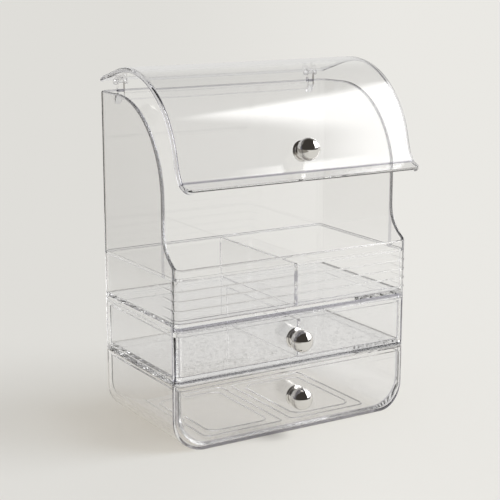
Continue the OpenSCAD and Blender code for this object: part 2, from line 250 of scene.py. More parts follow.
def clear_plastic(name, tint, shadow, joints=(), painted_shade_streaks=(), painted_shade_rings=()):
    """Clear moulded plastic: faint waves, fine haze, and rough glue lines.

    The base colour moves a little with a slow noise, and takes a painted shade,
    the lavender grey of the dark lines along thick edges, in streaks: each has
    an axis, two limits in mm, a depth of tone, a length of dash (0 for none) and
    whether it keeps to the front. Rings are painted shade streaks round a line
    along x: its y and z, whether they run straight down below it, two distances
    and a depth of tone. A band of fine rough speckle follows each glued joint,
    given by its height. Shadow and diffuse rays pass straight through with a
    light tint.
    """
    material = bpy.data.materials.new(name)
    tree = Shader(material)
    place = tree.add("ShaderNodeTexCoord", output=3)
    slow = tree.add("ShaderNodeTexNoise", None, Vector=place, Scale=14.0, Detail=2.0)
    fine = tree.add("ShaderNodeTexNoise", None, Vector=place, Scale=900.0, Detail=3.0)
    darker = tuple(c * 0.992 for c in tint)
    colour = tree.blend(slow, darker, tint)
    haze = (fine - 0.5) * 0.005

    def between(value, low, high, depth, softness):
        """Full depth from low to high and 0 outside, with soft limits."""
        off = tree.math("ABSOLUTE", value - (low + high) / 2)
        reach = (high - low) / 2
        return tree.rise(off, reach - softness, reach + softness, depth, 0.0)
    # Painted shade: streaks of the edge tone stand for the dark lines seen along thick edges.
    for axis, low, high, depth, dash, front_only in painted_shade_streaks:
        at = tree.part(place, axis) * IN_MM
        at = tree.math("ABSOLUTE", at) if axis == 0 else at
        painted_shade_mask = between(at, low, high, depth, 0.25)
        if front_only:
            painted_shade_mask = painted_shade_mask * tree.rise(tree.part(place, 1) * IN_MM, SEAM, SEAM + 5.0, 1.0, 0.0)
        if dash:
            cuts = tree.add("ShaderNodeTexNoise", None, Vector=place, Scale=IN_MM / dash, Detail=0.0)
            painted_shade_mask = painted_shade_mask * tree.rise(cuts, 0.42, 0.55, 0.1, 1.0)
        colour = tree.blend(painted_shade_mask, colour, PAINTED_EDGE_SHADE)
    # Painted shade: rings of the edge tone stand for the dark line seen along a bend.
    for ring_y, ring_z, upright, low, high, depth in painted_shade_rings:
        y = tree.part(place, 1) * IN_MM - ring_y
        z = tree.part(place, 2) * IN_MM - ring_z
        if upright:
            z = tree.math("MAXIMUM", z, 0.0)
            y = tree.math("MINIMUM", y, 0.0)
        painted_shade_mask = between(tree.math("SQRT", y * y + z * z), low, high, depth, 0.3)
        colour = tree.blend(painted_shade_mask, colour, PAINTED_EDGE_SHADE)
    if joints:
        height = tree.part(place, 2) * IN_MM
        patchy = tree.add("ShaderNodeTexNoise", None, Vector=place, Scale=260.0, Detail=3.0)
        spots = tree.rise(patchy, 0.5, 0.62, 0.0, 0.35)
        for joint in joints:
            haze = haze + tree.rise(tree.math("ABSOLUTE", height - joint), 0.35, 1.1, 1.0, 0.0) * spots
    rough = tree.math("MAXIMUM", haze, 0.0)
    waves = tree.add("ShaderNodeBump", None, Strength=0.05, Distance=0.0006, Height=slow)
    body = tree.add("ShaderNodeBsdfPrincipled", None, Base_Color=colour, Roughness=rough,
                    Transmission_Weight=1.0, IOR=1.49, Normal=waves)
    straight = tree.add("ShaderNodeBsdfTransparent", None, (0.982, 0.979, 0.973, 1))
    shade = tree.add("ShaderNodeBsdfTransparent", None, (shadow, shadow * 0.994, shadow * 0.985, 1))
    lit = tree.add("ShaderNodeLightPath", output=1)
    bounced = tree.add("ShaderNodeLightPath", output=2)
    inner = tree.add("ShaderNodeMixShader", None, bounced, body, straight)
    outer = tree.add("ShaderNodeMixShader", None, lit, inner, shade)
    tree.add("ShaderNodeOutputMaterial", None, outer)
    return material


def trough(outer, inner, top, front, back, walls, corner, floor_corner, open_front):
    """Skin of a trough seen from the front, with a back wall.

    Rows run from the front to the back along y. Near the back both skins turn
    in on a quarter round, whose radius goes from the corner size on the sides
    to the floor corner size under the floor. Flat faces close the ends and a
    strip joins the skins along the rim.
    """
    q = places(-2.5, 2.5, 4, 20)
    radius = floor_corner + (corner - floor_corner) * smooth_step(0.5, 1.5, np.abs(q))
    turn = np.linspace(0, np.pi / 2, 9)[:, None]
    straight = np.linspace(0, 1, 5)[:-1, None]

    def skin(line, end, round_off, begin):
        flat = seen_from_front(line, q, 0.0, begin + (end - round_off - begin) * straight)
        bend = seen_from_front(line, q, round_off * (1 - np.cos(turn)),
                               end - round_off * (1 - np.sin(turn)))
        return np.concatenate([flat, bend])
    outside = skin(outer, back, radius, front)
    inside = skin(inner, back - walls, np.maximum(radius - walls, 0.8),
                  front if open_front else front + walls)
    patches = [outside, inside, outside[-1], inside[-1],
               np.stack([np.concatenate([outside[:, -1], outside[::-1, 0]]),
                         np.concatenate([inside[:, -1], inside[::-1, 0]])])]
    if open_front:
        patches.append(np.stack([outside[0], inside[0]]))
    else:
        patches += [outside[0], inside[0],
                    np.stack([outside[0][[0, -1]], inside[0][[0, -1]]])]
    return patches


# The casing's streaks are painted shade lines across the front and along the front corner seam.
casing_plastic = clear_plastic("casing_clear_plastic", (0.996, 0.996, 0.998), 0.962, (LOWER_TOP, UPPER_TOP),
                               [(2, 108.6, 112.0, 0.75, 0, True), (2, 62.9, 64.7, 0.7, 0, True),
                                (1, -63.2, -62.2, 0.8, 0, False)])
outside_line = closed_line([(HALF_WIDTH, 0), (HALF_WIDTH, LOWER_TOP - BOND),
                            (-HALF_WIDTH, LOWER_TOP - BOND), (-HALF_WIDTH, 0)],
                           [BOTTOM_ROUND, SHARP, SHARP, BOTTOM_ROUND])
inside_line = closed_line([(HALF_WIDTH - WALL, WALL), (HALF_WIDTH - WALL, LOWER_TOP - BOND),
                           (WALL - HALF_WIDTH, LOWER_TOP - BOND), (WALL - HALF_WIDTH, WALL)],
                          [BOTTOM_ROUND - WALL, SHARP, SHARP, BOTTOM_ROUND - WALL])
lower_casing = make("lower_casing_moulding", "cabinet",
                    trough(outside_line, inside_line, LOWER_TOP, SEAM, HALF_DEPTH, WALL,
                           CORNER, FLOOR_CORNER, True),
                    casing_plastic, ["lower_casing"], edge=0.45)

# Upper casing
# One clear moulding: the shelf between the drawers, with a bullnosed edge that
# shows across the front, and side and back walls that stand on the shelf.
SHELF, SHELF_TOP = 4.0, 64.6
plan_line = closed_line([(HALF_WIDTH, -HALF_DEPTH), (HALF_WIDTH, HALF_DEPTH),
                         (-HALF_WIDTH, HALF_DEPTH), (-HALF_WIDTH, -HALF_DEPTH)],
                        [CORNER] * 4)
q_all = places(-1.5, 6.5, 6, 18)
q_walls = q_all[q_all >= 1.5]
turn = np.linspace(-np.pi / 2, np.pi / 2, 13)[:, None]
nose = SHELF / 2 * (1 - smooth_step(1.3, 1.5, np.abs(q_all)) * (q_all <= 1.5) - (q_all > 1.5))
shelf_edge = seen_from_above(plan_line, q_all, nose * (1 - np.cos(turn)),
                             LOWER_TOP + SHELF / 2 + (SHELF / 2 - BOND) * np.sin(turn))
levels = np.linspace(0, 1, 5)[:, None] * (UPPER_TOP - BOND - SHELF_TOP + BOND) + SHELF_TOP - BOND
wall_outside = seen_from_above(plan_line, q_walls, 0.0, levels)
wall_inside = seen_from_above(plan_line, q_walls, WALL, levels)
front_part = q_all < 1.5
upper_casing = make("upper_casing_moulding", "cabinet", [
    np.concatenate([shelf_edge, shelf_edge[:, :1]], axis=1),
    shelf_edge[0],
    np.concatenate([shelf_edge[-1][front_part], wall_outside[0, :1], wall_inside[0],
                    wall_outside[0, -1:]]),
    wall_outside, wall_inside,
    np.stack([wall_outside[-1], wall_inside[-1]]),
    np.stack([wall_outside[:, 0], wall_inside[:, 0]]),
    np.stack([wall_outside[:, -1], wall_inside[:, -1]])],
    casing_plastic, ["upper_casing"], edge=0.35)

# Tray
# A clear moulded tray whose front carries four beads that run round both front
# corners. Its floor is raised above its lower edge, and a lip under it locates
# it in the upper casing.
TRAY_TOP, TRAY_FLOOR = 151.6, 114.0
BEADS = UPPER_TOP + 10.2 + 8.3 * np.arange(4)
BEAD_ROUND, BEAD_SUNK = 0.9, 0.3
q_tray = places(-4.0, 4.0, 8, 20)
beaded = (np.abs(q_tray) <= 1.5).astype(float)
lipped = smooth_step(1.55, 1.7, np.abs(q_tray))
reach = math.sqrt(BEAD_ROUND ** 2 - BEAD_SUNK ** 2)
bead_heights = (BEADS[:, None] + reach * np.sin(np.linspace(-np.pi / 2, np.pi / 2, 11))).ravel()
from_bead = np.abs(bead_heights[:, None] - BEADS).min(axis=1)
stand_out = np.sqrt(np.maximum(BEAD_ROUND ** 2 - from_bead ** 2, BEAD_SUNK ** 2)) - BEAD_SUNK
quarter = np.linspace(0, np.pi / 2, 6)


def tray_row(depth, z):
    """One closed row of the tray at a depth inside its outline and a height."""
    return seen_from_above(plan_line, q_tray, depth, z)


lip_low = UPPER_TOP + 0.1 - 2.0 * lipped
rows = [tray_row(4.9, TRAY_FLOOR - 3), tray_row(4.7, TRAY_FLOOR - 3.2), tray_row(4.7, lip_low),
        tray_row(3.2, lip_low), tray_row(3.2, UPPER_TOP + BOND), tray_row(0.0, UPPER_TOP + BOND),
        tray_row(0.0, UPPER_TOP + 3), tray_row(0.0, UPPER_TOP + 7)]
rows += [tray_row(-out * beaded, z) for out, z in zip(stand_out, bead_heights)]
rows += [tray_row(0.0, TRAY_TOP - 4), tray_row(0.0, TRAY_TOP - BOND),
         tray_row(WALL, TRAY_TOP - BOND), tray_row(WALL, TRAY_FLOOR + 20)]
rows += [tray_row(WALL + 1.5 * (1 - math.cos(a)), TRAY_FLOOR + 1.5 * (1 - math.sin(a)))
         for a in quarter]
tray = make("tray_moulding", "cabinet", [np.stack(rows), rows[0][:-1], rows[-1][:-1]],
            casing_plastic, ["tray"], edge=0.3)

# Tray divider
# A clear plate that stands across the tray from front to back. It is slid into
# a shallow groove in the floor, and its front upper corner is eased.


def plate(x0, x1, corners, radii, steps=10):
    """A flat plate of even thickness: an outline in (y, z) carried along x."""
    line = closed_line(corners, radii, steps)
    q = places(0, 2 * len(corners), 2, steps)[:-1]
    y, z = line(q)
    rim = np.stack([np.stack(np.broadcast_arrays(x, y, z), axis=-1) for x in (x0, x1)])
    return [np.concatenate([rim, rim[:, :1]], axis=1), rim[0], rim[1]]


# The divider's streak is a painted shade dash line along its thick front edge.
divider_plastic = clear_plastic("divider_clear_plastic", (0.994, 0.994, 0.996), 0.962,
                                painted_shade_streaks=[(1, -65.5, -64.0, 0.95, 5.0, False)])
tray_divider = make("tray_divider_plate", "cabinet",
                    plate(0.1, 3.5, [(-64.8, 113.95), (64.8, 113.95), (64.8, 152.5), (-64.8, 152.5)],
                          [0.4, 0.4, 1.5, 3.0]),
                    divider_plastic, ["tray_divider"], edge=0.5)

# Hood
# A clear shell bent round the cabinet's outline: a low band across the front,
# side panels that sweep up to a large curve, and a full back panel. A stiffening
# rail and two hinge lugs stand at its top inside the back.
HOOD_TOP, HOOD_THICK, BAND_TOP = 298.0, 3.5, 161.2
EDGE_Y, DOME, SWEEP_RISE, SWEEP_START = -47.5, 82.0, 30.8, 9.8
SET_BACK = EDGE_Y + HALF_DEPTH
SWEEP = (SET_BACK ** 2 + SWEEP_RISE ** 2) / (2 * SET_BACK)
LOCATING_OUT, LOCATING_IN, LOCATING_DROP = 3.25, 4.7, 0.6
PIVOT_Y, PIVOT_Z = 64.5, 305.5
HINGE_X = 101.0


def hood_rim():
    """Place and height of the hood's rim on the right half, front to back.

    The band is level. The sweep is an arc in (y, z), the front edge is
    upright, the dome is a quarter circle, and the top and back are level.
    """
    sweep = np.linspace(math.acos(SWEEP_START / SWEEP), 0, 26)
    y = [EDGE_Y - SWEEP + SWEEP * np.cos(sweep), np.full(8, EDGE_Y)]
    z = [BAND_TOP + SWEEP_RISE - SWEEP * np.sin(sweep),
         np.linspace(BAND_TOP + SWEEP_RISE, HOOD_TOP - DOME, 10)[1:-1]]
    dome = np.linspace(0, np.pi / 2, 60)
    y += [EDGE_Y + DOME - DOME * np.cos(dome), np.linspace(EDGE_Y + DOME, -SEAM, 6)[1:]]
    z += [HOOD_TOP - DOME + DOME * np.sin(dome), np.full(5, HOOD_TOP)]
    y, z = np.concatenate(y), np.concatenate(z)
    corner = 0.5 + np.arccos(np.clip((SEAM - y) / CORNER, 0, 1)) / (np.pi / 2)
    q = np.where(y < SEAM, corner, 1.5 + (y - SEAM) / (2 * HALF_DEPTH - 2 * CORNER))
    before = np.linspace(0, 0.5, 8)[:-1]
    after = np.concatenate([np.linspace(2.5, 3.5, 19)[1:], np.linspace(3.5, 4, 8)[1:]])
    q = np.concatenate([before, q, after])
    z = np.concatenate([np.full(7, BAND_TOP), z, np.full(len(after), HOOD_TOP)])
    return q, z


rim_q, rim_z = hood_rim()
RUN_X, RUN_Y, ARC = HALF_WIDTH - CORNER, 2 * (HALF_DEPTH - CORNER), 11.0
run = np.array([RUN_X, ARC, RUN_Y, ARC, RUN_X])
along_mm = np.interp(rim_q, [0, 0.5, 1.5, 2.5, 3.5, 4], np.concatenate([[0], np.cumsum(run)]))
path = np.concatenate([[0], np.cumsum(np.hypot(np.diff(along_mm), np.diff(rim_z)))])
side = (rim_q >= 1.5) & (rim_q <= 2.5)
foot_q = rim_q.copy()
foot_q[side] = 1.5 + (path[side] - path[side][0]) / (path[side][-1] - path[side][0])
du, dz = np.gradient(along_mm, path), np.gradient(rim_z, path)
size = np.hypot(du, dz)
into_q, into_z = dz / size, -du / size
per_mm = np.interp(rim_q, [0, 0.5, 0.5001, 1.5, 1.5001, 2.5, 2.5001, 3.5, 3.5001, 4],
                   np.repeat([0.5 / RUN_X, 1 / ARC, 1 / RUN_Y, 1 / ARC, 0.5 / RUN_X], 2))


def around(values, mirror=1):
    """The right half's values carried on round the left half, front to front."""
    return np.concatenate([values, mirror * values[-2::-1] + (8 if mirror < 0 else 0)])


def hood_row(drop, depth, share=0.0, foot=TRAY_TOP + BOND):
    """A closed row: below the rim by drop, then a share of the way to the foot."""
    q = rim_q + into_q * drop * per_mm
    z = rim_z + into_z * drop
    q, z = q + (foot_q - q) * share, z + (foot - z) * share
    return seen_from_above(plan_line, around(q, -1), depth, around(z))


half = HOOD_THICK / 2
edge_turn = np.linspace(0, np.pi, 15)[1:-1]
shares = np.linspace(0, 1, 15)
hood_rows = [hood_row(half, 0.0, s) for s in shares[::-1]]
hood_rows += [hood_row(half - half * math.sin(a) ** 0.8, half - half * math.cos(a)) for a in edge_turn]
hood_rows += [hood_row(half, HOOD_THICK, s, TRAY_TOP + 1.9) for s in shares]
hood_rows += [hood_row(0, depth, 1.0, TRAY_TOP + above)
              for depth, above in ((LOCATING_IN, 1.8), (LOCATING_IN, -LOCATING_DROP),
                                   (LOCATING_OUT, -LOCATING_DROP), (LOCATING_OUT, BOND))]
hood_rows += [hood_row(half, 0.0, 1.0)]
# The hood's ring is a painted shade line along the curved edge of the dome.
hood_plastic = clear_plastic("hood_clear_plastic", (0.994, 0.994, 0.996), 0.91,
                             painted_shade_rings=[(EDGE_Y + DOME, HOOD_TOP - DOME, True, 80.4, 82.6, 0.6)])
RAIL_HALF = HINGE_X - 2.9
rail = plate(-RAIL_HALF, RAIL_HALF, [(63.4, 288.5), (66.4, 288.5), (66.4, 295), (63.4, 295)],
             [0.9, 0.3, 0.3, 0.9], 5)
lug_head = 2.6
lug_outline = [(PIVOT_Y - lug_head, 293), (66.4, 284.5), (66.4, 296), (67.1, 296.5),
               (PIVOT_Y + lug_head, PIVOT_Z + lug_head), (PIVOT_Y - lug_head, PIVOT_Z + lug_head)]
lugs = [patch for s in (-1, 1)
        for patch in plate(s * HINGE_X - 3, s * HINGE_X + 3, lug_outline,
                           [1.5, 0.3, 0.3, 0.3, 2.4, 2.4], 8)]
hood = make("hood_shell", "cabinet", [np.stack(hood_rows)] + rail + lugs,
            hood_plastic, ["hood"], edge=0.25)

# Hinge pins
# Two short clear rods, pressed through the lid's ears and the hood's lugs. Both
# ends are chamfered.


def turned(profile, steps, place):
    """A profile of (radius, distance) pairs revolved about its axis.

    Every pair becomes a circle, and place puts local (across, up, out)
    coordinates into the object.
    """
    radius, out = np.asarray(profile, float).T[:, :, None]
    angle = np.linspace(0, 2 * np.pi, steps + 1)
    return place(radius * np.cos(angle), radius * np.sin(angle), out + 0 * angle)


PIN = [(0, -6.1), (0.9, -6.1), (1.2, -5.8), (1.2, -2), (1.2, 2), (1.2, 5.8), (0.9, 6.1), (0, 6.1)]
for s, name in ((-1, "left_hinge_pin"), (1, "right_hinge_pin")):
    rod = turned(PIN, 32, lambda a, b, c: np.stack([c + s * HINGE_X, a + PIVOT_Y, b + PIVOT_Z], axis=-1))
    pin = make(name + "_rod", "cabinet", [rod], casing_plastic, [name])

# Lid
# One clear bent sheet with a deeper rim down each side, curved over the front,
# leaning a little below it and bent out to a lip. Its nose is slotted for the
# hood's lugs, and ears beside each slot take the hinge pins.
LID_HALF, LID_THICK, RIM = 119.0, 2.6, 4.4
LID_FRONT, LID_ROUND, LID_OPEN = -52.2, 87.0, math.radians(15.5)
LID_CY, LID_CZ = LID_FRONT + LID_ROUND, 311.0 - LID_ROUND
NOSE, LIP, LIP_CORNER = 5.5, 9.0, 5.0
LEAN_ROUND, LEAN, LEAN_RUN, LEAN_Z = 20.0, math.atan2(7, 24), 5.0, LID_CZ - 12
FLARE, FLARE_TURN = 6.0, math.atan2(4, 3)


def lid_path():
    """Side view of the lid's outer face, from the nose's end to the lip's end.

    Gives (y, z), the direction into the sheet, and the distance left to the
    lip's end: arc round the pivot, straight top, quarter circle, straight
    front, then arcs the other way with a short leaning run between them, and
    the straight lip.
    """
    a = np.linspace(math.radians(60), 0, 13)
    parts = [(PIVOT_Y + NOSE * np.sin(a), PIVOT_Z + NOSE * np.cos(a), -np.sin(a), -np.cos(a))]
    t = np.linspace(0, 1, 6)[1:-1]
    parts.append((PIVOT_Y + (LID_CY - PIVOT_Y) * t, 311.0 + 0 * t, 0 * t, -1 + 0 * t))
    a = np.linspace(0, np.pi / 2, 73)
    parts.append((LID_CY - LID_ROUND * np.sin(a), LID_CZ + LID_ROUND * np.cos(a), np.sin(a), -np.cos(a)))
    t = np.linspace(0, 1, 5)[1:-1]
    parts.append((LID_FRONT + 0 * t, LID_CZ + (LEAN_Z - LID_CZ) * t, 1 + 0 * t, 0 * t))
    a = np.linspace(0, LEAN, 9)
    parts.append((LID_FRONT - LEAN_ROUND * (1 - np.cos(a)), LEAN_Z - LEAN_ROUND * np.sin(a),
                  np.cos(a), -np.sin(a)))
    y0 = parts[-1][0][-1] - LEAN_RUN * math.sin(LEAN) - FLARE * math.cos(LEAN)
    z0 = parts[-1][1][-1] - LEAN_RUN * math.cos(LEAN) + FLARE * math.sin(LEAN)
    a = np.linspace(LEAN, FLARE_TURN, 12)
    parts.append((y0 + FLARE * np.cos(a), z0 - FLARE * np.sin(a), np.cos(a), -np.sin(a)))
    t = np.concatenate([[0.2], 1 - (LIP_CORNER / LIP) * np.cos(np.linspace(0, np.pi / 2, 12))])
    y0, z0 = parts[-1][0][-1], parts[-1][1][-1]
    parts.append((y0 - math.sin(FLARE_TURN) * LIP * t, z0 - math.cos(FLARE_TURN) * LIP * t,
                  math.cos(FLARE_TURN) + 0 * t, -math.sin(FLARE_TURN) + 0 * t))
    y, z, into_y, into_z = (np.concatenate(v) for v in zip(*parts))
    length = np.concatenate([[0], np.cumsum(np.hypot(np.diff(y), np.diff(z)))])
    return y, z, into_y, into_z, length[-1] - length


def lid_section():
    """Closed cross-section in (x, depth): the sheet and a rim on both sides.

    The outer corners are rounded, and so are the rims' lower edges. Returned
    from the left side of the outer face, across it, and back along the inside.
    """
    slots = np.concatenate([s * HINGE_X + np.array([-3.4, 3.4]) for s in (-1, 1)])
    across = np.unique(np.concatenate([np.linspace(-LID_HALF + 2.1, LID_HALF - 2.1, 41), slots]))
    a = np.linspace(0, np.pi / 2, 9)[1:]
    corner = np.stack([LID_HALF - 2.1 + 2.1 * np.sin(a), 2.1 - 2.1 * np.cos(a)], axis=1)
    b = np.linspace(0, np.pi, 11)
    rim = np.stack([LID_HALF - 1.5 + 1.5 * np.cos(b), RIM - 1.0 + 1.0 * np.sin(b)], axis=1)
    c = np.linspace(0, np.pi / 2, 6)[1:]
    fillet = np.stack([LID_HALF - 3 - 0.6 * (1 - np.cos(c)), LID_THICK + 0.6 * (1 - np.sin(c))], axis=1)
    right = np.concatenate([corner, rim, fillet])
    inner = across[np.abs(across) < LID_HALF - 4.5]
    left = right[::-1] * [-1, 1]
    outer = np.stack([across, 0 * across], axis=1)
    under = np.stack([inner[::-1], LID_THICK + 0 * inner], axis=1)
    return np.concatenate([outer, right, under, left]), slots


path_y, path_z, into_y, into_z, to_end = lid_path()
section, slots = lid_section()


def opened(points):
    """Turns the closed lid's points to its stored opening about the pivot."""
    y, z = points[..., 1] - PIVOT_Y, points[..., 2] - PIVOT_Z
    c, s = math.cos(LID_OPEN), math.sin(LID_OPEN)
    return np.stack([points[..., 0], PIVOT_Y + c * y + s * z, PIVOT_Z - s * y + c * z], axis=-1)


def lid_rows(rows, part):
    """The section, or a part of it, carried along rows of the path.

    Near the lip's end the sides come in on a circle, which rounds the lip's
    corners.
    """
    inward = np.maximum(LIP_CORNER - to_end[rows], 0)
    narrow = LIP_CORNER - np.sqrt(np.maximum(LIP_CORNER ** 2 - inward ** 2, 0))
    x, depth = part.T
    x = x - np.sign(x) * narrow[:, None] * smooth_step(LID_HALF - 30, LID_HALF - 6, np.abs(x))
    y = path_y[rows][:, None] + depth * into_y[rows][:, None]
    z = path_z[rows][:, None] + depth * into_z[rows][:, None]
    return opened(np.stack([x, y, z], axis=-1))


def closed(rows):
    """Repeats each row's first point at its end, so that the row closes."""
    return np.concatenate([rows, rows[:, :1]], axis=1)


SLOT_ROW = 12
main_rows = np.arange(SLOT_ROW, len(path_y))
main = lid_rows(main_rows, section)
lid_patches = [closed(main), main[-1]]
nose_rows = np.arange(0, SLOT_ROW + 1)
for low, high in ((-200, slots[0]), (slots[1], slots[2]), (slots[3], 200)):
    part = section[(section[:, 0] >= low - 1e-6) & (section[:, 0] <= high + 1e-6)]
    if low < -100:
        turn_at = np.argmax(part[:, 0])
        part = np.roll(part, -turn_at - 1, axis=0)
    nose_part = lid_rows(nose_rows, part)
    lid_patches += [closed(nose_part), nose_part[0]]
for low, high in ((slots[0], slots[1]), (slots[2], slots[3])):
    inside_slot = (section[:, 0] >= low - 1e-6) & (section[:, 0] <= high + 1e-6)
    lid_patches.append(lid_rows(np.array([SLOT_ROW]), section[inside_slot])[0])
EAR = [(1.26, -1.5), (2.5, -1.5), (2.8, -1.2), (2.8, 1.2), (2.5, 1.5), (1.26, 1.5), (1.26, -1.5)]
for s in (-1, 1):
    for t in (-1, 1):
        middle = s * HINGE_X + t * 4.9
        lid_patches.append(turned(EAR, 32, lambda a, b, c: np.stack(
            [c + middle, a + PIVOT_Y, b + PIVOT_Z], axis=-1)))
# The lid's rims get painted shade streaks, and the lip's bend a painted shade ring.
bend = int(np.argmin(np.abs(to_end - LIP - 1.6)))
bend_at = opened(np.array([0.0, path_y[bend] + 1.3 * into_y[bend], path_z[bend] + 1.3 * into_z[bend]]))
lid_plastic = clear_plastic("lid_clear_plastic", (0.994, 0.994, 0.996), 0.91,
                            painted_shade_streaks=[(0, 117.2, 119.3, 0.4, 0, False)],
                            painted_shade_rings=[(float(bend_at[1]), float(bend_at[2]), False, -1.8, 1.8, 0.75)])
lid = make("lid_bent_sheet", "lid", lid_patches, lid_plastic, ["lid_shell"], edge=0.5)

# Knobs
# Three alike: a polished chrome ball on a stepped flange, held by a screw whose
# round head sits inside the panel. The ball's foot sits in the flange's seat.
BALL, BALL_OUT, SEAT = 10.0, 11.5, 3.2
KNOB_LOW, KNOB_UP = 34.0, 86.8


def polished_metal(name, colour, low, high, scratch):
    """Plated metal: a slow change of tone, and roughness that follows noise."""
    material = bpy.data.materials.new(name)
    tree = Shader(material)
    place = tree.add("ShaderNodeTexCoord", output=3)
    slow = tree.add("ShaderNodeTexNoise", None, Vector=place, Scale=120.0, Detail=2.0)
    fine = tree.add("ShaderNodeTexNoise", None, Vector=place, Scale=2400.0, Detail=4.0)
    tone = tree.blend(slow, tuple(c * 0.94 for c in colour), colour)
    rough = tree.add("ShaderNodeMapRange", None, fine, 0.35, 0.7, low, high)
    marks = tree.add("ShaderNodeBump", None, Strength=scratch, Distance=0.00005, Height=fine)
    body = tree.add("ShaderNodeBsdfPrincipled", None, Base_Color=tone, Metallic=1.0,
                    Roughness=rough, Normal=marks)
    tree.add("ShaderNodeOutputMaterial", None, body)
    return material


chrome = polished_metal("polished_chrome", (0.80, 0.785, 0.76), 0.015, 0.05, 0.03)
screw_steel = polished_metal("screw_steel", (0.62, 0.61, 0.59), 0.22, 0.38, 0.2)
a = np.linspace(-math.asin((BALL_OUT - SEAT) / BALL), np.pi / 2, 40)
foot = BALL * math.cos(a[0])
BALL_PROFILE = [(2.05, BALL_OUT), (2.05, SEAT + 0.3), (2.3, SEAT), (foot - 0.3, SEAT)]
BALL_PROFILE += list(zip(BALL * np.cos(a[1:]), BALL_OUT + BALL * np.sin(a[1:])))
BALL_PROFILE = [(0, BALL_OUT)] + BALL_PROFILE
b = np.linspace(-np.pi / 2, np.pi / 2, 9)
c = np.linspace(np.pi * 1.5, np.pi, 7)
FLANGE_PROFILE = [(2.2, 0), (8.6, 0)] + list(zip(8.9 + 0.4 * np.cos(b), 0.7 + 0.7 * np.sin(b)))
FLANGE_PROFILE += [(8.5, 1.8), (7.9, 1.9)] + list(zip(7.1 + 1.15 * np.cos(c), 3.05 + 1.15 * np.sin(c)))
FLANGE_PROFILE += [(5.9, SEAT - 0.02), (2.2, SEAT - 0.02), (2.2, 0)]


def screw_profile(panel):
    """Shank through the panel with a low domed head behind it."""
    d = np.linspace(0.35, np.pi / 2, 7)
    head = [(0, -panel - 1.75)] + [(3.8 * math.cos(v), -panel - 0.55 - 1.2 * math.sin(v)) for v in d[::-1]]
    return head + [(3.8, -panel - 0.7), (3.8, -panel - 0.25), (3.6, -panel - 0.05), (1.95, -panel - 0.05),
                   (1.95, 7.0), (1.6, 7.6), (0, 7.6)]


def facing_front(x, y, z, turn):
    """Placement that points a turned part out of the front."""
    def place(across, up, out):
        points = np.stack([x + across, y - out, z + up], axis=-1)
        return opened(points) if turn else points
    return place


KNOBS = [("lid", "lid", 2.5, LID_FRONT, LID_CZ - 6.5, LID_THICK, True),
         ("upper_drawer", "upper_drawer_unit", -2.0, -HALF_DEPTH, KNOB_UP, WALL, False),
         ("lower_drawer", "lower_drawer_unit", -2.0, -HALF_DEPTH, KNOB_LOW, WALL, False)]
for name, body, x, y, z, panel, turn_open in KNOBS:
    place = facing_front(x, y - 0.02, z, turn_open)
    ball = make(name + "_knob_ball", body, [turned(BALL_PROFILE, 96, place)], chrome,
                [name + "_knob"])
    flange = make(name + "_knob_flange", body, [turned(FLANGE_PROFILE, 96, place)], chrome,
                  [name + "_knob_base"], edge=0.15)
    screw = make(name + "_knob_machine_screw", body, [turned(screw_profile(panel), 48, place)],
                 screw_steel, [name + "_knob_screw"], edge=0.12)

# Upper drawer
# A clear front, bent round both upright corners of the cabinet, on a clear
# open box. A plate divides the box from front to back.
# The drawer's streak is a painted shade line where the front bends round its corners.
drawer_plastic = clear_plastic("drawer_clear_plastic", (0.996, 0.996, 0.998), 0.968,
                               painted_shade_streaks=[(1, -64.2, -62.4, 0.85, 0, False)])
FRONT_END = 1.5 - math.asin(0.3 / CORNER) / (np.pi / 2)
UPPER_FRONT = (SHELF_TOP + 0.5, UPPER_TOP - 0.5)
BOX_HALF, BOX_BACK, BOX_WALL = 116.6, 62.5, 2.5
q_front = places(-FRONT_END, FRONT_END, 6, 20)
front_depth = WALL + 0.4 * smooth_step(0.9, 1.4, np.abs(q_front))
front_ring = np.concatenate([
    seen_from_above(plan_line, q_front, 0.0, 0.0),
    seen_from_above(plan_line, q_front, front_depth, 0.0)[::-1]])
front_levels = np.linspace(UPPER_FRONT[0], UPPER_FRONT[1], 4)
front_skin = np.stack([front_ring * [1, 1, 0] + [0, 0, z] for z in front_levels])
box_line = closed_line([(BOX_HALF, -66.94), (BOX_HALF, BOX_BACK), (-BOX_HALF, BOX_BACK),
                        (-BOX_HALF, -66.94)], [3.5, 3.0, 3.0, 3.5])
q_box = places(-4.0, 4.0, 6, 12)


def open_box(line, low, high, wall, fillet):
    """Closed skin of an open box: outside, rim, inside and floor, row by row."""
    def row(depth, z):
        return seen_from_above(line, q_box, depth, z)
    rows = [row(0.6, low), row(0.2, low + 0.15), row(0.0, low + 0.6), row(0.0, high),
            row(wall, high), row(wall, low + wall + fillet)]
    rows += [row(wall + fillet * (1 - math.cos(v)), low + wall + fillet * (1 - math.sin(v)))
             for v in quarter[1:]]
    return [np.stack(rows), rows[0][:-1], rows[-1][:-1]]


upper_drawer = make("upper_drawer_moulding", "upper_drawer_unit",
                    [closed(front_skin), front_skin[0], front_skin[-1]]
                    + open_box(box_line, SHELF_TOP + 0.4, 103.0, BOX_WALL, 0.9),
                    drawer_plastic, ["upper_drawer"], edge=0.45)
upper_divider = make("upper_drawer_divider_plate", "upper_drawer_unit",
                     plate(3.6, 6.6, [(-64.3, 67.55), (59.9, 67.55), (59.9, 101.6), (-64.3, 101.6)],
                           [0.4, 0.4, 1.2, 2.0]),
                     drawer_plastic, ["upper_drawer_divider"], edge=0.5)

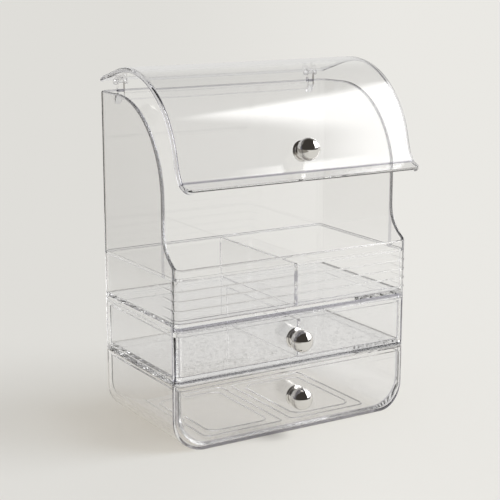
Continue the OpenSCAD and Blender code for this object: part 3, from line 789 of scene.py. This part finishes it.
# Lower drawer
# A clear front that follows the casing's rounded bottom edges, like a shallow
# dish, on a clear trough-shaped box. Two pairs of frames stand on its floor.
LOWER_FRONT = (0.6, LOWER_TOP - 0.5)
front_line = closed_line([(HALF_WIDTH, LOWER_FRONT[0]), (HALF_WIDTH, LOWER_FRONT[1]),
                          (-HALF_WIDTH, LOWER_FRONT[1]), (-HALF_WIDTH, LOWER_FRONT[0])],
                         [BOTTOM_ROUND - 0.6, SHARP, SHARP, BOTTOM_ROUND - 0.6])
q_dish = places(-2.5, 2.5, 4, 24)
dish_round = 2.2 + (CORNER - 2.2) * smooth_step(0.5, 1.5, np.abs(q_dish))
dish_turn = np.linspace(0, np.pi / 2, 10)[:, None]


def dish_skin(depth, front, round_off):
    """Rows of the front's rim from the seam forward, turning in to the face."""
    lead = seen_from_front(front_line, q_dish, depth, np.full((1, 1), SEAM - 0.3))
    bend = seen_from_front(front_line, q_dish, depth + round_off * (1 - np.cos(dish_turn)),
                           np.minimum(front + round_off * (1 - np.sin(dish_turn)), SEAM - 0.35))
    return np.concatenate([lead, bend])


dish_outside = dish_skin(0.0, -HALF_DEPTH, dish_round)
dish_inside = dish_skin(WALL - 0.1, -HALF_DEPTH + WALL, np.maximum(dish_round - WALL, 0.6))
dish = [dish_outside, dish_inside, dish_outside[-1], dish_inside[-1],
        np.stack([dish_outside[0], dish_inside[0]]),
        np.stack([np.concatenate([dish_outside[:, -1], dish_outside[::-1, 0]]),
                  np.concatenate([dish_inside[:, -1], dish_inside[::-1, 0]])])]
BOX_TOP, BOX_ROUND = 56.0, 28.6
lower_box_outside = closed_line([(116.4, 3.7), (116.4, BOX_TOP), (-116.4, BOX_TOP), (-116.4, 3.7)],
                                [BOX_ROUND, SHARP, SHARP, BOX_ROUND])
lower_box_inside = closed_line([(113.9, 6.2), (113.9, BOX_TOP), (-113.9, BOX_TOP), (-113.9, 6.2)],
                               [BOX_ROUND - BOX_WALL, SHARP, SHARP, BOX_ROUND - BOX_WALL])
lower_box = trough(lower_box_outside, lower_box_inside, BOX_TOP, -66.94, BOX_BACK, BOX_WALL,
                   3.5, 3.5, False)


def floor_frame(x, y, width, depth, corner, z, half, high):
    """A raised frame on a floor: a half-round bead along a rounded rectangle."""
    line = closed_line([(x + width / 2, y - depth / 2), (x + width / 2, y + depth / 2),
                        (x - width / 2, y + depth / 2), (x - width / 2, y - depth / 2)], [corner] * 4)
    q = places(0, 8, 4, 10)
    turn = np.linspace(0, 2 * np.pi, 17)[:, None]
    up = np.maximum(np.sin(turn), -0.25)
    return seen_from_above(line, q, half * np.cos(turn), z + high * up)


frames = [floor_frame(s * 44.5, 1.5, 61 + 2 * outset, 93 + 2 * outset, 10 - outset / 2, 6.2, 1.1, 0.8)
          for s in (-1, 1) for outset in (0.0, 9.0)]
lower_drawer = make("lower_drawer_moulding", "lower_drawer_unit", dish + lower_box + frames,
                    drawer_plastic, ["lower_drawer"], edge=0.45)

# Studio
# A very wide pale paper floor, a soft sun from the upper right and a quiet
# world with one bright window for the highlights. The camera stands where the
# photograph's did.
CAMERA_RAY, GLOSSY_RAY, TRANSMISSION_RAY, GLOSSY_DEPTH = 0, 3, 6, 11
AHEAD_X, AHEAD_Y = 0.52, 0.854
FOOT_X, FOOT_Y = -0.622, -1.0145


def paper(name, left, right, shaded):
    """Matt paper with a faint slow mottle, and a painted shade that makes it a little darker on the left.

    Left and right are told by the distance sideways over the distance ahead
    of the camera's foot. Reflections alone meet the shaded tone far left.
    """
    material = bpy.data.materials.new(name)
    tree = Shader(material)
    place = tree.add("ShaderNodeTexCoord", output=3)
    slow = tree.add("ShaderNodeTexNoise", None, Vector=place, Scale=1.5, Detail=2.0)
    x = tree.part(place, 0) - FOOT_X
    y = tree.part(place, 1) - FOOT_Y
    ahead = x * AHEAD_X + y * AHEAD_Y
    sideways = (x * AHEAD_Y - y * AHEAD_X) / tree.math("SQRT", ahead * ahead + 0.01)
    # Painted shade: the colour runs from the darker left tone to the right tone across the view.
    tone = tree.blend(tree.rise(sideways, -0.10, 0.12) + (slow - 0.5) * 0.06, left, right)
    mirrored = tree.add("ShaderNodeLightPath", output=GLOSSY_DEPTH)
    plain = tree.math("MAXIMUM", tree.rise(sideways, -0.5, -0.24), 1 - mirrored)
    tone = tree.blend(plain, shaded, tone)
    body = tree.add("ShaderNodeBsdfPrincipled", None, Base_Color=tone, Roughness=0.9,
                    Specular_IOR_Level=0.0)
    tree.add("ShaderNodeOutputMaterial", None, body)
    return material


extent = np.array([-30.0, -8, -2, -0.6, 0, 0.6, 2, 8, 30])
floor_x, floor_y = np.meshgrid(extent, extent, indexing="ij")
floor_mesh = bpy.data.meshes.new("studio_floor")
index = np.arange(floor_x.size).reshape(floor_x.shape)
floor_mesh.from_pydata(np.stack([floor_x, floor_y, 0 * floor_x], axis=-1).reshape(-1, 3).tolist(), [],
                       np.stack([index[:-1, :-1], index[1:, :-1], index[1:, 1:], index[:-1, 1:]],
                                axis=-1).reshape(-1, 4).tolist())
# The first tone is the painted shade on the left.
floor_mesh.materials.append(paper("studio_paper", (0.745, 0.738, 0.710), (0.83, 0.822, 0.792),
                                  (0.30, 0.285, 0.26)))
floor = bpy.data.objects.new("studio_floor", floor_mesh)
scene.collection.objects.link(floor)

sun_data = bpy.data.lights.new("sun", "SUN")
sun_data.energy = 2.38
sun_data.angle = math.radians(32)
sun_data.color = (1.0, 0.99, 0.975)
sun = bpy.data.objects.new("sun", sun_data)
sun.visible_glossy = False
sun.visible_transmission = False
sun.rotation_mode = "QUATERNION"
sun.rotation_quaternion = Vector((-0.72, 0.44, -0.9)).to_track_quat("-Z", "Y")
scene.collection.objects.link(sun)

world = bpy.data.worlds.new("studio")
scene.world = world
sky = Shader(world)
toward = sky.add("ShaderNodeTexCoord", output=0)


def facing(normal, low, high):
    """0 to 1 as the looked-at direction turns towards a normal."""
    along = sky.add("ShaderNodeVectorMath", {"operation": "DOT_PRODUCT"}, toward, normal, output=1)
    return sky.rise(along, low, high)


def for_ray(kind, other, own):
    """One colour for rays of a kind, and another for all the rest."""
    return sky.blend(sky.add("ShaderNodeLightPath", output=kind), other, own)


UP, DOWN = (0.0, 0.0, 1.0), (0.0, 0.0, -1.0)
WINDOW_TOP, WINDOW_LEFT, WINDOW_RIGHT = ((0.7952, -0.2001, -0.5723), (0.8332, 0.4978, -0.2406),
                                         (0.1736, -0.9848, 0.0))
PALE_WALL = (1.35, 1.34, 1.31)
behind = facing((AHEAD_X, AHEAD_Y, 0.0), -0.05, 0.3) * facing(DOWN, -0.85, -0.4)
window = facing(WINDOW_TOP, -0.02, 0.03) * facing(WINDOW_LEFT, -0.02, 0.06)
window = window * facing(WINDOW_RIGHT, -0.02, 0.04) * facing(UP, 0.18, 0.24)
room = sky.blend(behind, (0.10, 0.09, 0.08), PALE_WALL)
room = sky.blend(window, room, (8.5, 8.5, 8.5))
straight = (1 - sky.add("ShaderNodeLightPath", output=GLOSSY_DEPTH)) * facing(DOWN, -0.3, -0.15)
beyond = sky.blend(sky.math("MAXIMUM", behind, straight), (0.24, 0.235, 0.29), PALE_WALL)
beyond = sky.blend(window, beyond, (6.5, 6.5, 6.5))
tone = for_ray(GLOSSY_RAY, (0.80, 0.80, 0.80), room)
tone = for_ray(TRANSMISSION_RAY, tone, beyond)
tone = for_ray(CAMERA_RAY, tone, (1.45, 1.44, 1.40))
light = sky.add("ShaderNodeBackground", None, tone, 0.55)
sky.add("ShaderNodeOutputWorld", None, light)

scene.view_settings.view_transform = "Standard"
scene.cycles.max_bounces = 48
scene.cycles.glossy_bounces = 40
scene.cycles.transmission_bounces = 44
scene.cycles.transparent_max_bounces = 64

lens = bpy.data.cameras.new("camera")
lens.lens, lens.sensor_width = 96.3, 36
camera = bpy.data.objects.new("camera", lens)
azimuth, elevation, distance = math.radians(-31.31), math.radians(12.66), 1.21746
back = Vector((math.sin(azimuth) * math.cos(elevation), -math.cos(azimuth) * math.cos(elevation),
               math.sin(elevation)))
looked_at = Vector((-0.00543, 0, 0.15278))
camera.location = looked_at + back * distance
camera.rotation_mode = "QUATERNION"
camera.rotation_quaternion = (-back).to_track_quat("-Z", "Y")
scene.collection.objects.link(camera)
scene.camera = camera
